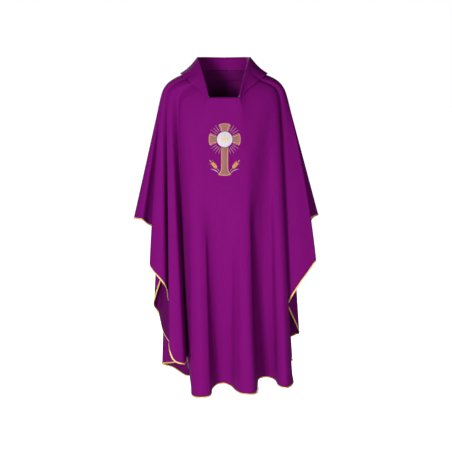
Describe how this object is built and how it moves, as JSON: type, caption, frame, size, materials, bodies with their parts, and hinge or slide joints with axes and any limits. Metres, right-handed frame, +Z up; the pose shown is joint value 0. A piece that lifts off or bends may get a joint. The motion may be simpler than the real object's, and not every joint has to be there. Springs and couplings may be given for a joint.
{
  "type": "chasuble",
  "caption": "Sleeveless outer vestment of full cut, draped from the shoulders, with a turned-down collar, a square neck, a satin-bound hem and a cross embroidered on the chest.",
  "frame": {"origin": "middle of the neck opening, level with the ridge of the shoulders, where the garment is carried", "axes": "+Z up; the front, with the embroidery, faces -Y; the wearer's left is +X"},
  "size_m": [0.7372, 0.4425, 1.3099],
  "materials": {
    "vestment_cloth": "matte",
    "gold_binding": "satin",
    "interlining": "matte",
    "white_thread": "matte",
    "cream_thread": "matte",
    "silver_thread": "matte",
    "peach_gold_thread": "matte",
    "copper_thread": "matte",
    "ray_thread": "matte",
    "wheat_thread": "matte"
  },
  "bodies": {
    "root": {"front_panel": "vestment_cloth", "back_panel": "vestment_cloth", "upper_collar": "vestment_cloth", "under_collar": "vestment_cloth", "front_neck_facing": "vestment_cloth", "back_neck_facing": "vestment_cloth", "front_hem_binding": "gold_binding", "back_hem_binding": "gold_binding", "right_shoulder_tape": "interlining", "left_shoulder_tape": "interlining", "collar_interfacing": "interlining", "embroidery_backing": "interlining", "host_ring": "white_thread", "host_disc": "white_thread", "host_motif": "cream_thread", "left_leaf": "silver_thread", "right_leaf": "silver_thread", "cross_top_border": "peach_gold_thread", "cross_top_field": "copper_thread", "cross_right_border": "peach_gold_thread", "cross_right_field": "copper_thread", "cross_left_border": "peach_gold_thread", "cross_left_field": "copper_thread", "cross_shaft_border": "peach_gold_thread", "cross_shaft_field": "copper_thread", "rays_upper_left": "ray_thread", "rays_upper_right": "ray_thread", "rays_lower_right": "ray_thread", "rays_lower_left": "ray_thread", "left_wheat_ear": "wheat_thread", "right_wheat_ear": "wheat_thread"}
  },
  "joints": []
}
